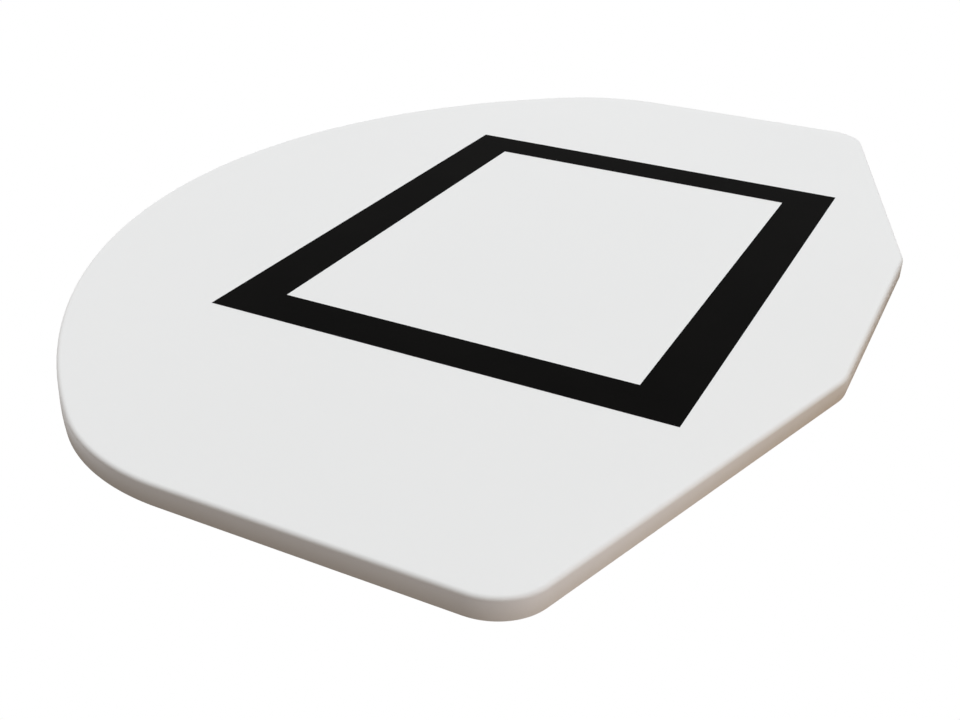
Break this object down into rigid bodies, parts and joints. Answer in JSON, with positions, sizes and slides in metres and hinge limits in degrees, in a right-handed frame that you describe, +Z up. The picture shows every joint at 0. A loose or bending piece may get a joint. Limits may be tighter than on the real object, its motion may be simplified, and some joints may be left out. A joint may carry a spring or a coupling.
{
  "type": "basketball backboard",
  "caption": "Fan-shaped basketball backboard: white moulded skin over a plywood core, black strip target, steel mounting plates let into the back.",
  "frame": {"origin": "centre of the lower bolt pattern, on the plane of the back rim and of the plates' outer faces", "axes": "+Z up as the board hangs in use, +X to the right as seen from the front, +Y out of the back; the playing face looks along -Y"},
  "size_m": [1.155, 0.0192, 0.785],
  "materials": {
    "gelcoat": "white gelcoat on glass fibre, gloss",
    "back_laminate": "brushed flowcoat over chopped-strand glass fibre, satin",
    "plywood": "exterior plywood, raw",
    "target_vinyl": "black vinyl, semi-gloss",
    "plate_steel": "zinc plated",
    "nut_steel": "zinc plated",
    "screw_steel": "zinc plated, bright",
    "sealant": "grey polyurethane sealant"
  },
  "bodies": {
    "root": {"front_skin": "gelcoat", "core_panel": "plywood", "back_skin": "back_laminate", "target_top_strip": "target_vinyl", "target_bottom_strip": "target_vinyl", "target_left_strip": "target_vinyl", "target_right_strip": "target_vinyl", "lower_mount_plate": "plate_steel", "lower_mount_nuts": "nut_steel", "lower_mount_screws": "screw_steel", "lower_mount_seal": "sealant", "left_brace_plate": "plate_steel", "left_brace_nut": "nut_steel", "left_brace_screws": "screw_steel", "left_brace_seal": "sealant", "right_brace_plate": "plate_steel", "right_brace_nut": "nut_steel", "right_brace_screws": "screw_steel", "right_brace_seal": "sealant"}
  },
  "joints": []
}
